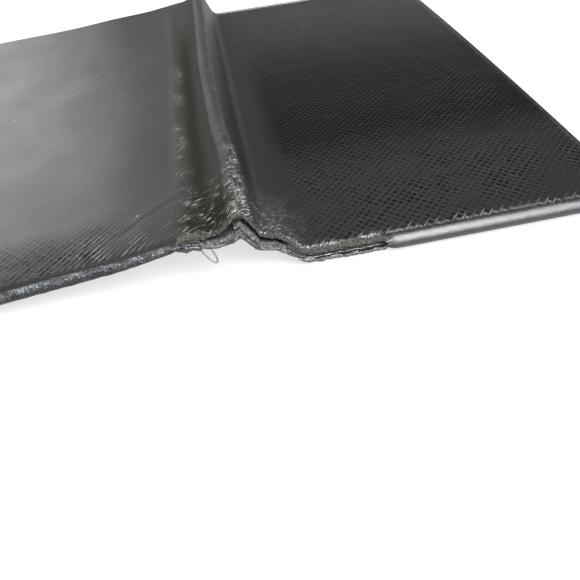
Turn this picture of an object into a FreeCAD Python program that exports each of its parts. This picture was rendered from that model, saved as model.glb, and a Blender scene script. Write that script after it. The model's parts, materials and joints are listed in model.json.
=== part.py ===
"""Long bifold card holder in crosshatch-grained leather, lying open with its outside up.

Millimetres, +Z up.  The origin is on the table, under the middle of the whole outline.
Y runs along the fold.  The right panel (+X) lies flat on the table.  The left panel
(-X) leans from a raised ridge, the spine, down to its free edge.

Each panel is a stack.  From the inside (underneath, as it lies) to the outside it is:
three tiers of card pockets, a full-length slip pocket, a lining, a stiffening board and
the outer cover.  Every pocket opens towards the spine, and a seam down the middle makes
two columns of pockets.
"""
import FreeCAD, Part

import math
import os

from FreeCAD import Vector

# ---- Driving dimensions -------------------------------------------------------------
LENGTH = 185.0  # along the fold, over both painted ends
PANEL_WIDTH = 92.0  # from a fold's axis to the painted free edge
CORNER_RADIUS = 4.0  # the leather's two corners on each free edge
CARD_LONG = 85.6  # a standard card
CARD_SHORT = 54.0

COVER = 1.0  # thicknesses, from the outside in
BOARD = 0.3
LINING = 0.15
SLIP_GAP = 0.2
SLIP_LEATHER = 0.35
POCKET_GAP = 0.15
POCKET_LEATHER = 0.3
FRONT_LEATHER = 0.4
TONGUE = 0.15  # the cloth that carries a pocket's leather strip down to its bottom

HEM = 3.0  # glued border on a pocket's closed sides
DIVIDER = 1.5  # glued line between the two columns
POCKET_DEPTH = 47.0  # from a card pocket's mouth to its bottom
SLIP_MOUTH = 5.0  # the slip pocket's mouth, from the fold's axis
TIER_STEP = 11.0  # from the fold's axis to the back tier's mouth, then tier to tier
STRIP = 18.0  # width of the leather strip on the tiers behind the front one

EDGE_COAT = 0.5  # how far the edge paint stands out from the leather
EDGE_COAT_MARGIN = 0.15  # bare leather above and below the paint
TORN_RIGHT = 28.5  # paint missing from the near end, from each fold's axis
TORN_LEFT = 9.0

SEAM_INSET = 2.2  # a seam's thread, in from the leather's edge
SEAM_WIDTH = 0.5
SEAM_GROOVE = 0.2  # depth of the groove that the thread lies in
SEAM_THREAD = 0.15
SEAM_END = 1.5  # where a seam stops short of a pocket's mouth

FOLD_START = 0.8  # the cover's layers stop this far each side of a fold's axis
INNER_START = 4.0  # board and lining, from the fold's axis

SPINE_RUN = 11.3  # between the two folds' axes, across
SPINE_RISE = 7.65  # and up
FLANK_ANGLE = 109.0  # the spine's steep side, from +X
SLOPE_ANGLE = 34.0  # its gentle side, from +X, rising to the crest
CREST_RADIUS = 2.0  # at the middle of the cover's thickness
SPINE_LAYER_GAP = 0.25
SPINE_REINFORCEMENT = 0.5
SPINE_LINING = 0.3
SPINE_INNER_SETBACK = 3.0
WORN_END = 2.5  # leather worn off the near end of the ridge

THREAD_RADIUS = 0.2  # the loose loop of thread at the left panel's worn end
THREAD_AT = 2.9  # from the left fold's axis
THREAD_SPREAD = 0.9  # half the loop's width
THREAD_DROP = 3.6
THREAD_CLEAR = 0.02  # between the thread and the layers' cut ends

# ---- Worked out ---------------------------------------------------------------------
STACK = (
    (FRONT_LEATHER, "front"),
    (POCKET_GAP, None),
    (POCKET_LEATHER, "middle"),
    (POCKET_GAP, None),
    (POCKET_LEATHER, "back"),
    (POCKET_GAP, None),
    (SLIP_LEATHER, "slip"),
    (SLIP_GAP, None),
    (LINING, "lining"),
    (BOARD, "board"),
    (COVER, "cover"),
)
LEVEL = {}  # each layer's lowest and highest z in a panel lying flat
THICKNESS = 0.0
for depth, layer_name in STACK:
    if layer_name:
        LEVEL[layer_name] = (THICKNESS, THICKNESS + depth)
    THICKNESS += depth

LEATHER_END = PANEL_WIDTH - EDGE_COAT  # the leather's free edge, from the fold's axis
HALF = LENGTH / 2 - EDGE_COAT  # the leather's half length
AXIS_Z = THICKNESS - COVER / 2  # folds bend about the middle of the cover
LEFT_AXIS_Z = AXIS_Z + SPINE_RISE

# The left panel tilts until the lowest corner of its free edge meets the table.
TILT = math.asin(LEFT_AXIS_Z / math.hypot(LEATHER_END, AXIS_Z)) - math.atan2(
    AXIS_Z, LEATHER_END
)
LEFT_REACH = (
    PANEL_WIDTH * math.cos(TILT) - (AXIS_Z - THICKNESS / 2) * math.sin(TILT)
)
RIGHT_AXIS_X = (LEFT_REACH + SPINE_RUN - PANEL_WIDTH) / 2
RIGHT_AXIS = Vector(RIGHT_AXIS_X, 0, AXIS_Z)
LEFT_AXIS = Vector(RIGHT_AXIS_X - SPINE_RUN, 0, LEFT_AXIS_Z)
Y_AXIS = Vector(0, 1, 0)

# Each pocket layer's mouth, and where the next layer covers it, from the fold's axis.
TIERS = ("back", "middle", "front")
MOUTH = {"slip": SLIP_MOUTH}
for step, tier in enumerate(TIERS, 1):
    MOUTH[tier] = step * TIER_STEP
COVERED = dict(zip(MOUTH, [MOUTH[tier] for tier in TIERS] + [LEATHER_END]))

column = HALF - HEM - DIVIDER / 2
if column < CARD_LONG + 1 or POCKET_DEPTH - HEM > CARD_SHORT:
    raise ValueError("a card no longer fits its pocket")

PARTS = {}


# ---- Shapes in a panel's own frame: x from the fold's axis, z up from the inside -----
def box(x, y, z):
    """A box between two limits on each axis."""
    size = [limits[1] - limits[0] for limits in (x, y, z)]
    return Part.makeBox(*size, Vector(x[0], y[0], z[0]))


def slab(start, end, level, corner=CORNER_RADIUS):
    """A layer from start to end, round-cornered where end is the leather's free edge."""
    solid = box((start, end), (-HALF, HALF), LEVEL[level])
    if end < LEATHER_END:
        return solid
    corners = [
        edge
        for edge in solid.Edges
        if edge.BoundBox.ZLength > edge.BoundBox.YLength
        and edge.BoundBox.XMin > end - 0.01
    ]
    return solid.makeFillet(corner, corners)


def inside_outline(solid):
    """The part of a solid that lies inside the leather's rounded outline."""
    z = solid.BoundBox
    outline = box((0, LEATHER_END), (-HALF, HALF), (z.ZMin - 1, z.ZMax + 1))
    corners = [
        edge
        for edge in outline.Edges
        if edge.BoundBox.ZLength > 1 and edge.BoundBox.XMin > LEATHER_END - 0.01
    ]
    return solid.common(outline.makeFillet(CORNER_RADIUS, corners)).Solids[0]


def hems(level, gap):
    """Glued borders between a pocket layer and the next one, along its closed sides."""
    top = LEVEL[level][1]
    z = (top, top + gap)
    mouth = MOUTH[level]
    end = LEATHER_END if level in ("front", "slip") else mouth + POCKET_DEPTH
    bars = [
        box((end - HEM, end), (-HALF, HALF), z),
        box((mouth, end - HEM), (-HALF, HEM - HALF), z),
        box((mouth, end - HEM), (HALF - HEM, HALF), z),
    ]
    if level != "slip":
        bottom = mouth + POCKET_DEPTH
        bars.append(box((mouth, bottom - HEM), (-DIVIDER / 2, DIVIDER / 2), z))
    if level == "front":
        reach = HALF - HEM
        bars.append(box((bottom - HEM, bottom), (-reach, reach), z))
    return [inside_outline(bar) for bar in bars]


def seam_bars(level, z):
    """The seams that show on a layer, as bars: grooves or thread, by their z limits."""
    side = HALF - SEAM_INSET
    start = MOUTH[level] + SEAM_END
    end = COVERED[level] - (SEAM_INSET if level == "front" else 0)
    across = [-side, side] if level == "slip" else [-side, 0.0, side]
    half = SEAM_WIDTH / 2
    if level != "front":
        return [box((start, end), (y - half, y + half), z) for y in across]
    bottom = MOUTH[level] + POCKET_DEPTH - HEM / 2
    ends = {-side: end, 0.0: bottom - half, side: end}
    bars = [box((start, ends[y]), (y - half, y + half), z) for y in across]
    # Across the front leather: the pockets' bottom seam, and the free edge's seam.
    for x in (bottom, end - half):
        bars.append(box((x - half, x + half), (half - side, side - half), z))
    return bars


def grooved(solid, level):
    """Cuts the seams' grooves into the inner face of a layer of leather."""
    floor = LEVEL[level][0]
    for bar in seam_bars(level, (floor, floor + SEAM_GROOVE)):
        solid = solid.cut(bar)
    return solid.Solids[0]


def seams():
    """The thread that shows on each layer, in its groove."""
    runs = []
    for level in MOUTH:
        top = LEVEL[level][0] + SEAM_GROOVE
        runs += seam_bars(level, (top - SEAM_THREAD, top))
    return runs


def card_pocket(level):
    """A tier of card pockets: its leather, and the glued borders behind it."""
    end = LEATHER_END if level == "front" else MOUTH[level] + STRIP
    leather = grooved(slab(MOUTH[level], end, level), level)
    return [leather] + hems(level, POCKET_GAP)


def pocket_cloth(level):
    """The thin cloth below a strip, flush with its back, down to the pocket's bottom."""
    top = LEVEL[level][1]
    start = MOUTH[level] + STRIP
    end = MOUTH[level] + POCKET_DEPTH
    return [box((start, end), (-HALF, HALF), (top - TONGUE, top))]


def slip_pocket():
    """The leather that the tiers are sewn to, open along the spine."""
    leather = grooved(slab(SLIP_MOUTH, LEATHER_END, "slip"), "slip")
    return [leather] + hems("slip", SLIP_GAP)


def paint_section(place, outward, level):
    """The edge paint's cross-section: flat against the layers and round outside."""
    low = place + Vector(0, 0, LEVEL[level][0] + EDGE_COAT_MARGIN)
    high = place + Vector(0, 0, THICKNESS - EDGE_COAT_MARGIN)
    outermost = (low + high) / 2 + outward * EDGE_COAT
    curve = Part.Arc(high, outermost, low).toShape()
    return Part.Face(Part.Wire([Part.LineSegment(low, high).toShape(), curve]))


def paint_stretches(start, end):
    """The painted stretches along one end, each over the layers that reach its edge."""
    stretches = []
    for level, stop in [("lining", SLIP_MOUTH)] + list(COVERED.items()):
        stop = min(stop, end)
        if stop > start:
            stretches.append((level, start, stop))
            start = stop
    return stretches


def edge_paint(torn_end, torn):
    """Paint along three edges, with the stretch beside the fold worn off one end."""
    straight = LEATHER_END - CORNER_RADIUS
    reach = HALF - CORNER_RADIUS
    free = paint_section(Vector(LEATHER_END, -reach, 0), Vector(1, 0, 0), "front")
    solids = [free.extrude(Vector(0, 2 * reach, 0))]
    for end in (-1, 1):
        outward = Vector(0, end, 0)
        first = torn if end == torn_end else FOLD_START
        for level, start, stop in paint_stretches(first, straight):
            section = paint_section(Vector(start, end * HALF, 0), outward, level)
            solids.append(section.extrude(Vector(stop - start, 0, 0)))
        section = paint_section(Vector(straight, end * HALF, 0), outward, "front")
        centre = Vector(straight, end * reach, 0)
        solids.append(section.revolve(centre, Vector(0, 0, -end), 90))
    return solids


def loose_thread():
    """A loop of sewing thread that hangs from the left panel's worn end."""
    y = -HALF - THREAD_RADIUS - THREAD_CLEAR
    top = LEFT_AXIS + Vector(-THREAD_AT, y, -COVER / 2)
    side = Vector(THREAD_SPREAD, 0, 0)
    shoulder = Vector(0, 0, -0.72 * THREAD_DROP)
    points = [
        top - side,
        top - side + shoulder,
        top + Vector(0, 0, -THREAD_DROP),
        top + side + shoulder,
        top + side,
    ]
    pairs = zip(points, points[1:])
    path = Part.Wire([Part.LineSegment(a, b).toShape() for a, b in pairs])
    ring = Part.Wire(Part.makeCircle(THREAD_RADIUS, points[0], points[1] - points[0]))
    return path.makePipeShell([ring], True, False, 1)


# ---- Placing ------------------------------------------------------------------------
def place_right(solid):
    """Puts a panel's solid on the right: flat on the table, fold at the right axis."""
    solid = solid.copy()
    solid.translate(Vector(RIGHT_AXIS.x, 0, 0))
    return solid


def place_left(solid):
    """Puts a panel's solid on the left: turned end for end, then tilted."""
    solid = solid.copy()
    solid.rotate(Vector(0, 0, 0), Vector(0, 0, 1), 180)
    solid.rotate(Vector(0, 0, AXIS_Z), -Y_AXIS, math.degrees(TILT))
    solid.translate(LEFT_AXIS - Vector(0, 0, AXIS_Z))
    return solid


SIDES = {
    # side: how it is placed, its near end's y sign, and the paint missing there
    "right": (place_right, -1, TORN_RIGHT),
    "left": (place_left, 1, TORN_LEFT),
}


def add(name, solids):
    """Keeps the solids of one sub-part."""
    if not isinstance(solids, list):
        solids = [solids]
    PARTS[name] = solids


def panel(side):
    """All the sub-parts of one panel."""
    place, torn_end, torn = SIDES[side]
    pieces = {
        "cover": [slab(FOLD_START, LEATHER_END, "cover")],
        "board": [slab(INNER_START, LEATHER_END, "board")],
        "lining": [slab(INNER_START, LEATHER_END, "lining")],
        "slip_pocket": slip_pocket(),
        "edge_paint": edge_paint(torn_end, torn),
        "pocket_seams": seams(),
    }
    for level in TIERS:
        pieces["card_pocket_" + level] = card_pocket(level)
        if level != "front":
            pieces["pocket_cloth_" + level] = pocket_cloth(level)
    for name, solids in pieces.items():
        add(name + "_" + side, [place(solid) for solid in solids])


# ---- The spine ----------------------------------------------------------------------
def direction(angle):
    """The unit vector at an angle from +X towards +Z, in degrees."""
    turn = math.radians(angle)
    return Vector(math.cos(turn), 0, math.sin(turn))


def spine_layer(outer, inner, setback, near, far):
    """A band between two depths under the cover's mid line, over the whole ridge."""
    flank = direction(FLANK_ANGLE)
    slope = direction(SLOPE_ANGLE)
    across = LEFT_AXIS - RIGHT_AXIS
    # The two sides, produced upwards, meet at the apex.
    crossing = flank.x * slope.z - flank.z * slope.x
    along_flank = (across.x * slope.z - across.z * slope.x) / crossing
    apex = RIGHT_AXIS + flank * along_flank
    half_turn = math.radians(SLOPE_ANGLE + 180 - FLANK_ANGLE) / 2
    into = direction((FLANK_ANGLE + SLOPE_ANGLE + 180) / 2 + 90)
    centre = apex + into * (CREST_RADIUS / math.cos(half_turn))
    flank_in = direction(FLANK_ANGLE + 90)
    slope_in = direction(SLOPE_ANGLE - 90)

    def points(depth):
        radius = CREST_RADIUS - depth
        return (
            RIGHT_AXIS + flank * setback + flank_in * depth,
            centre - flank_in * radius,
            centre - into * radius,
            centre - slope_in * radius,
            LEFT_AXIS + slope * setback + slope_in * depth,
        )

    a, b, crest, c, d = points(outer)
    e, f, inner_crest, g, h = points(inner)
    edges = [
        Part.LineSegment(a, b),
        Part.Arc(b, crest, c),
        Part.LineSegment(c, d),
        Part.LineSegment(d, h),
        Part.LineSegment(h, g),
        Part.Arc(g, inner_crest, f),
        Part.LineSegment(f, e),
        Part.LineSegment(e, a),
    ]
    face = Part.Face(Part.Wire([edge.toShape() for edge in edges]))
    face.translate(Vector(0, near, 0))
    return face.extrude(Vector(0, far - near, 0))


def spine():
    """Three nested layers: cover, reinforcement and lining."""
    depth = COVER / 2
    add(
        "cover_spine", spine_layer(-depth, depth, FOLD_START, WORN_END - HALF, HALF)
    )
    depth += SPINE_LAYER_GAP
    layers = (
        ("spine_reinforcement", SPINE_REINFORCEMENT, 0.7),
        ("spine_lining", SPINE_LINING, 0.0),
    )
    for name, thickness, proud in layers:
        near = WORN_END - proud - HALF
        band = spine_layer(depth, depth + thickness, SPINE_INNER_SETBACK, near, HALF)
        add(name, band)
        depth += thickness + SPINE_LAYER_GAP


# ---- Build --------------------------------------------------------------------------
panel("left")
panel("right")
spine()
add("loose_thread", loose_thread())

os.makedirs("parts", exist_ok=True)
for name, solids in PARTS.items():
    for solid in solids:
        if not solid.isValid() or solid.Volume <= 0:
            raise ValueError(name + " has a bad solid")
    shape = solids[0] if len(solids) == 1 else Part.makeCompound(solids)
    shape.exportStep("parts/" + name + ".step")

print("fold axes: right", tuple(RIGHT_AXIS), "left", tuple(LEFT_AXIS))
print("tilt", round(math.degrees(TILT), 3), "thickness", round(THICKNESS, 3))
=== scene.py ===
"""Looks of the long bifold card holder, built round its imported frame.

Lengths are in millimetres here, and become metres where a mesh is made.  A place on
the holder is (u, y, out): u is the distance along the cover leather from the ridge's
crest, positive towards the right panel; y runs along the folds, with the worn end at
low y; out is the height above the middle of the cover leather, positive outside.
s is a place's distance from its panel's fold, which is negative on the ridge.
"""
import json
import math
import random

import bmesh
import bpy
import numpy as np
from mathutils import Matrix, Vector, noise


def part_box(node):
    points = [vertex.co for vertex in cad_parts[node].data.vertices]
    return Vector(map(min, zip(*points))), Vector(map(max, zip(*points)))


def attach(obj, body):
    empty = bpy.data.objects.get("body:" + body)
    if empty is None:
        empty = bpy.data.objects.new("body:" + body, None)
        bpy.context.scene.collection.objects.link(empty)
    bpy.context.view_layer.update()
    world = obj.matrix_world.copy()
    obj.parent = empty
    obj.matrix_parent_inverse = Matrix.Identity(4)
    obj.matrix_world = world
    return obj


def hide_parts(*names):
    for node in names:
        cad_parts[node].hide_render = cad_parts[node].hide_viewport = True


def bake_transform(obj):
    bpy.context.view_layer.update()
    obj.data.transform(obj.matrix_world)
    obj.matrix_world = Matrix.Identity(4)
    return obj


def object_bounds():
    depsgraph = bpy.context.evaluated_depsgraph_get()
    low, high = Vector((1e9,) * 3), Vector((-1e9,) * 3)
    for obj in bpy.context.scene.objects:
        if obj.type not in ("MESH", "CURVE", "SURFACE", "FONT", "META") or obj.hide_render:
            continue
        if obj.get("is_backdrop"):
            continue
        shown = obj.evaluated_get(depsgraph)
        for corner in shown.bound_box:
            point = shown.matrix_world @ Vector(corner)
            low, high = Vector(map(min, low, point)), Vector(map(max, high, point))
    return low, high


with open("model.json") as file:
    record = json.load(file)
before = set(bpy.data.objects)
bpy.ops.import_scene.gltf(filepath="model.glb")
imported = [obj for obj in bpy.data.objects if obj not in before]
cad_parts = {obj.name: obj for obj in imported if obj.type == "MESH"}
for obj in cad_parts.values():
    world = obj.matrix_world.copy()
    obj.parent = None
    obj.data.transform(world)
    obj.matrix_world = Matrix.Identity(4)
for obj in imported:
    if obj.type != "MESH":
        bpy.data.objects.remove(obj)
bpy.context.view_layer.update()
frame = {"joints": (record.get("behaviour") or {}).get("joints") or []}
MM = 0.001
SIDES = ("left", "right")

# ---- From the frame ----
JOINTS = {joint["name"]: np.array(joint["pos_m"]) / MM for joint in frame["joints"]}
RIGHT = JOINTS["right_fold"][[0, 2]]
LEFT = JOINTS["left_fold"][[0, 2]]


def box(node):
    """A node's lowest and highest corners, in millimetres."""
    return tuple(np.array(corner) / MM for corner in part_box(node))


cover_high = box("cover_right")[1]
HALF = cover_high[1]  # half the leather's length
REACH = cover_high[0] - RIGHT[0]  # a panel's leather, from its fold
SURFACE = cover_high[2] - RIGHT[1]  # from the cover's middle to its outside
DEPTH = RIGHT[1]  # from the cover's middle to the panel's inner face
TILT = math.asin(LEFT[1] / math.hypot(REACH, DEPTH)) - math.atan2(DEPTH, REACH)

# ---- Sizes ----
FLANK_ANGLE = 113.0  # the ridge's steep side, from +X
SLOPE_ANGLE = 34.0  # its gentle side
CREST_RADIUS = 2.0
LEFT_FOOT_RADIUS = 9.0
RIGHT_FOOT_RADIUS = 4.0
WORN_REACH = 36.0  # how far up the holder the worn end's shape fades out
CORNER = 4.0
CREASE_INSET = {"left": 1.3, "right": 2.1}  # the pressed line that the edge paint starts from
CREASE_WIDTH = 0.65
CREASE_DEPTH = 0.42
TORN_RIGHT = 28.5  # edge paint missing beside each fold
TORN_LEFT = 9.0
LAYER_GAP = 0.25  # below the cover, under the ridge
REINFORCEMENT = 0.5
BOARD = 0.3
LINING = 0.15
POCKET_LEATHER = 0.3
STRIP = 18.0  # the leather part of the two hidden tiers
CLOTH = 0.1
SEAM_INSET = 2.2
STITCH_PITCH = 3.2
STITCH_LENGTH = 2.6
PANEL_BOW = 1.6  # how far the right panel's free edge bows out half way along
PANEL_NEARER = 1.5  # how much nearer its worn end stands than the ridge's


# ---- The cover's cross-section ----
def heading(degrees):
    """The unit vector at an angle from +X towards +Z."""
    turn = math.radians(degrees)
    return np.array([math.cos(turn), math.sin(turn)])


def rounded(points, radii, step=0.1):
    """A dense line through points, with each corner between them rounded."""
    line = [np.array(points[0], float)]
    for before, corner, after, radius in zip(points, points[1:], points[2:], radii):
        before, corner, after = (np.array(p, float) for p in (before, corner, after))
        along = (corner - before) / np.linalg.norm(corner - before)
        onward = (after - corner) / np.linalg.norm(after - corner)
        turn = math.atan2(along[0] * onward[1] - along[1] * onward[0], along @ onward)
        start = corner - along * radius * math.tan(abs(turn) / 2)
        side = math.copysign(1, turn) * np.array([-along[1], along[0]])
        centre = start + side * radius
        spoke = start - centre
        for share in np.linspace(0, 1, max(3, int(radius * abs(turn) / step))):
            c, s = math.cos(turn * share), math.sin(turn * share)
            line.append(centre + [c * spoke[0] - s * spoke[1], s * spoke[0] + c * spoke[1]])
    line.append(np.array(points[-1], float))
    return np.array(line)


def measured(line):
    """The distance along a line, with 0 at its highest point."""
    length = np.r_[0, np.cumsum(np.linalg.norm(np.diff(line, axis=0), axis=1))]
    return length - length[line[:, 1].argmax()]


slope, flank = heading(SLOPE_ANGLE), heading(FLANK_ANGLE)
LEFTWARD = -heading(math.degrees(TILT))
span = LEFT - RIGHT
APEX = RIGHT + flank * (np.linalg.det([span, slope]) / np.linalg.det([flank, slope]))

BEYOND = 3.0  # the section goes on past the free edges, for what stands proud of them
plain_line = rounded(
    [LEFT + LEFTWARD * (REACH + BEYOND), LEFT, APEX, RIGHT, RIGHT + [REACH + BEYOND, 0]],
    [LEFT_FOOT_RADIUS, CREST_RADIUS, RIGHT_FOOT_RADIUS],
)
plain_u = measured(plain_line)
U_LEFT_EDGE, U_RIGHT_EDGE = plain_u[0] + BEYOND, plain_u[-1] - BEYOND
U_LEFT = U_LEFT_EDGE + REACH  # the folds, from where u - U_RIGHT or U_LEFT - u is s
U_RIGHT = U_RIGHT_EDGE - REACH

# The worn end's own section, from the right fold, which fades out up the holder.
WORN_LEFT, WORN_RIGHT = 36.0, 15.0
WORN_BENDS = [(-17.5, 8.9), (-10.0, 7.9), (-4.4, 12.6), (-0.7, 4.9), (3.4, 4.0), (9.0, 0), (WORN_RIGHT, 0)]
worn_line = rounded(
    [LEFT + LEFTWARD * WORN_LEFT, LEFT + LEFTWARD * 22, *(RIGHT + spot for spot in WORN_BENDS)],
    [60.0, 7.0, 5.0, 2.0, 1.6, 3.5, 5.0],
)
worn_u = measured(worn_line)
worn_u[worn_u < 0] *= (U_LEFT - WORN_LEFT) / worn_u[0]
worn_u[worn_u > 0] *= (U_RIGHT + WORN_RIGHT) / worn_u[-1]
outside = (plain_u < worn_u[0]) | (plain_u > worn_u[-1])
order = np.argsort(np.r_[plain_u[outside], worn_u])
worn_line = np.r_[plain_line[outside], worn_line][order]
worn_u = np.r_[plain_u[outside], worn_u][order]


def smooth(t):
    """0 to 1, easing in and out."""
    t = np.clip(t, 0, 1)
    return t * t * (3 - 2 * t)


def ramp(x, start, end):
    """0 to 1 as x goes from start to end, easing in and out."""
    return smooth((x - start) / (end - start))


def bump(x, centre, width):
    """A bell of height 1."""
    return np.exp(-(((x - centre) / width) ** 2))


def ripple(x, y, size, seed=0.0):
    """Smooth noise between about -1 and 1, for arrays of places."""
    x, y = np.broadcast_arrays(np.asarray(x, float), np.asarray(y, float))
    places = zip(x.ravel() / size, y.ravel() / size)
    return np.array([noise.noise(Vector((a, b, seed))) for a, b in places]).reshape(x.shape)


def from_fold(u):
    """s, the distance from the nearer panel's fold."""
    return np.where(u > 0, u - U_RIGHT, U_LEFT - u)


def up(y):
    """The distance from the worn end."""
    return y + HALF


def middle(u, y):
    """The middle of the cover leather, as X and Z, before it is warped."""
    share = ramp(up(y), WORN_REACH, 0) ** 1.3
    points = []
    for axis in (0, 1):
        plain = np.interp(u, plain_u, plain_line[:, axis])
        worn = np.interp(u, worn_u, worn_line[:, axis])
        points.append(plain + (worn - plain) * share)
    sway = 1.2 * bump(up(y), 31, 14) - 1.2 * bump(up(y), 96, 40)
    points[0] = points[0] + sway * bump(u, 0, 6.5)
    return points


def lift(u, y):
    """How far the whole stack is lifted: the left panel isn't quite flat."""
    left = np.clip((U_LEFT - u) / REACH, 0, None)
    curl = 2.0 * ramp(left, 0.5, 1.1) * ramp(y, -20, HALF - 20)
    dip = -0.5 * bump(left, 0.2, 0.12) * ramp(y, 0, HALF)
    swell = 0.9 * bump(left, 0.3, 0.3) * ramp(y, 0, -HALF)
    return curl + dip + swell


def place(u, y, out, window=0.2):
    """Points of the holder, in metres.  A wide window rounds what lies under the ridge."""
    u, y, out = np.broadcast_arrays(*(np.asarray(a, float) for a in (u, y, out)))
    x, z = middle(u, y)
    after, before = middle(u + window, y), middle(u - window, y)
    dx, dz = after[0] - before[0], after[1] - before[1]
    length = np.hypot(dx, dz)
    share = np.clip((u - U_RIGHT) / REACH, 0, None)
    bow = PANEL_BOW * share**2 * (1 - (y / HALF) ** 2)
    nearer = PANEL_NEARER * ramp(share, 0, 0.12) * (1 - 0.5 * share) * ramp(up(y), 60, 0)
    x = x - dz / length * out + bow
    z = z + dx / length * out + lift(u, y)
    return MM * np.stack([x, y - nearer, z], -1)


UNDER = 3.0  # the window for the layers under the cover


# ---- The worn end ----
TEAR_LEFT, TEAR_RIGHT = U_LEFT - TORN_LEFT, U_RIGHT + TORN_RIGHT
TEAR_REACH = 12.0  # how far up the holder the torn end's shape fades out
RIDGE_SETBACK = 2.7  # of the cover over the ridge
BAND_SETBACK = 2.0  # of its bared band, from the top
BAND_SLANT = 1.25
TORN_SLANT = 0.6  # a torn rim's foot stands this far out


def in_tear(u):
    """1 where the worn end has lost its edge paint."""
    return ramp(u, TEAR_LEFT - 1, TEAR_LEFT + 1) * ramp(u, TEAR_RIGHT + 1, TEAR_RIGHT - 1)


def bared(u):
    """1 where the torn cover's edge is a broad slanting band, 0 where it is a thin rim."""
    return np.maximum(ramp(u, U_RIGHT + 5, U_RIGHT + 10), ramp(U_LEFT - u, 0.5, 3.5)) * in_tear(u)


def torn_line(u):
    """How far the torn cover stands back from the worn end."""
    over_ridge = ramp(u, TEAR_LEFT - 1, TEAR_LEFT + 2) * ramp(u, U_RIGHT + 11, U_RIGHT + 5)
    ragged = 0.4 + 0.5 * ripple(u, 0, 1.9, 3.1) + 0.35 * ripple(u, 0, 0.7, 5.2)
    ridge = RIDGE_SETBACK * over_ridge * (1 - bared(u)) + ragged * in_tear(u)
    return np.clip(ridge + bared(u) * (BAND_SETBACK + 0.5 * over_ridge), 0, None)


def torn_slant(u):
    """How far out from its top the torn edge's foot stands."""
    uneven = 0.4 * ripple(u, 0, 1.1, 9.0)
    return in_tear(u) * (TORN_SLANT + uneven) + BAND_SLANT * bared(u)


def torn_layer(u, setback, seed):
    """How far the end of a layer under the cover stands back from the worn end."""
    ragged = 0.5 * ripple(u, 0, 1.5, seed) + 0.35 * ripple(u, 0, 0.5, seed + 7)
    return np.clip(0.3 + (setback - 0.3 + ragged) * in_tear(u), 0, None)


def fading(y):
    """How much of a torn end's setback is left up the holder."""
    return (1 - np.clip(y / TEAR_REACH, 0, 1)) ** 2


def swelling(u, y):
    """How much the worn end's layers have swollen, which pushes those below down."""
    return ramp(up(y), 11, 0) * in_tear(u)


def opening(u, y):
    """The gap that the worn end has opened under the crest."""
    return ramp(up(y), TEAR_REACH, 0) * bump(u, 0.6, 5.0)


def spine_share(u):
    """1 under the ridge, 0 in the panels."""
    return ramp(from_fold(u), 5, 2)


# ---- Meshes ----
def add_mesh(name, points, faces, materials, uv=None, values=None, indices=None):
    """A smooth-shaded object, from points in metres, with its normals facing out."""
    mesh = bpy.data.meshes.new(name)
    mesh.from_pydata(np.asarray(points).tolist(), [], faces)
    for material in materials:
        mesh.materials.append(material)
    if indices is not None:
        mesh.polygons.foreach_set("material_index", np.asarray(indices, np.int32))
    mesh.polygons.foreach_set("use_smooth", np.ones(len(mesh.polygons), bool))
    if uv is not None:
        corner_vertex = np.zeros(len(mesh.loops), np.int32)
        mesh.loops.foreach_get("vertex_index", corner_vertex)
        layer = mesh.uv_layers.new(name="Grain")
        layer.data.foreach_set("uv", np.asarray(uv, np.float32)[corner_vertex].ravel())
    for key, amounts in (values or {}).items():
        attribute = mesh.attributes.new(key, "FLOAT", "POINT")
        attribute.data.foreach_set("value", np.asarray(amounts, np.float32).ravel())
    shape = bmesh.new()
    shape.from_mesh(mesh)
    bmesh.ops.recalc_face_normals(shape, faces=shape.faces)
    shape.to_mesh(mesh)
    shape.free()
    obj = bpy.data.objects.new(name, mesh)
    bpy.context.scene.collection.objects.link(obj)
    return obj


def grid_faces(rows, columns, offset=0):
    """Quads over a grid of rows x columns points."""
    starts = [offset + i * columns + j for i in range(rows - 1) for j in range(columns - 1)]
    return [(a, a + columns, a + columns + 1, a + 1) for a in starts]


def boundary(rows, columns):
    """The indices round a grid's edge, in order."""
    grid = np.arange(rows * columns).reshape(rows, columns)
    return np.concatenate([grid[0], grid[1:, -1], grid[-1, -2::-1], grid[-2:0:-1, 0]])


def closed_sheet(name, top, bottom, materials, uv, values=None, rings=0, rough=None):
    """A closed sheet between two grids of points.  Its rim is of the second material,
    and has rings more rows of points, which rough(points, ring) may move."""
    rows, columns = top.shape[:2]
    count = rows * columns
    ring = boundary(rows, columns)
    flat_top, flat_bottom = top.reshape(-1, 3), bottom.reshape(-1, 3)
    points = [flat_top, flat_bottom]
    sources = [np.arange(count), np.arange(count)]
    loops = [ring]
    for level in range(1, rings + 1):
        share = level / (rings + 1)
        between = flat_top[ring] * (1 - share) + flat_bottom[ring] * share
        points.append(rough(between, level) if rough else between)
        sources.append(ring)
        loops.append(2 * count + (level - 1) * len(ring) + np.arange(len(ring)))
    loops.append(ring + count)
    faces = grid_faces(rows, columns) + grid_faces(rows, columns, count)
    indices = [0] * len(faces)
    for upper, lower in zip(loops, loops[1:]):
        corners = zip(upper, np.roll(upper, -1), np.roll(lower, -1), lower)
        faces += [tuple(int(i) for i in quad) for quad in corners]
    indices += [1] * (len(faces) - len(indices))
    source = np.concatenate(sources)
    values = {key: amounts.ravel()[source] for key, amounts in (values or {}).items()}
    return add_mesh(
        name, np.concatenate(points), faces, materials, uv.reshape(-1, 2)[source], values, indices
    )


def spaced(stops, steps):
    """Places from one stop to the next, with a spacing for each stretch."""
    places = [np.array([stops[0]])]
    for a, b, step in zip(stops, stops[1:], steps):
        count = max(1, int(round(abs(b - a) / step)))
        places.append(np.linspace(a, b, count + 1)[1:])
    return np.concatenate(places)


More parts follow.
